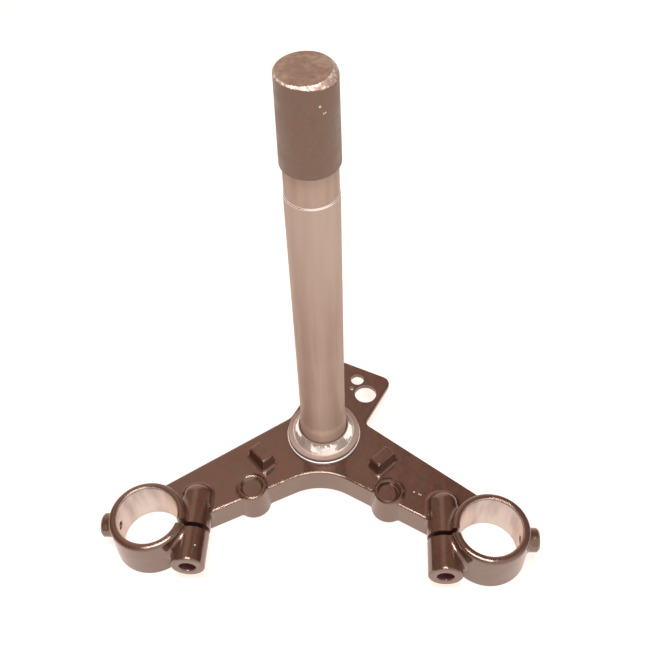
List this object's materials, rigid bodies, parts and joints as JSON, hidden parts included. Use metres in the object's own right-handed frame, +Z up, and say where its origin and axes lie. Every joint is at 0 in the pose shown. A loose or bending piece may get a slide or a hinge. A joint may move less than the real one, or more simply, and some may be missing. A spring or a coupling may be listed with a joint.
{
  "type": "motorcycle triple clamp",
  "caption": "Lower motorcycle triple clamp: a cast black yoke with split fork clamps, stop lugs and a lock tab, carrying a steel steering stem with a bearing cone and a cap.",
  "frame": {"origin": "on the stem's axis, level with the flat underside of the yoke", "axes": "+Z up the stem, -Y towards the fork clamps and the front of the bike, +X to the rider's left"},
  "size_m": [0.2364, 0.14, 0.2625],
  "materials": {
    "yoke_paint": "gloss",
    "stem_steel": "satin",
    "seal_steel": "polished",
    "race_steel": "polished",
    "cap_plastic": "matte"
  },
  "bodies": {
    "root": {"lower_yoke": "yoke_paint", "steering_stem": "stem_steel", "dust_seal": "seal_steel", "bearing_cone": "race_steel", "thread_cap": "cap_plastic"}
  },
  "joints": []
}
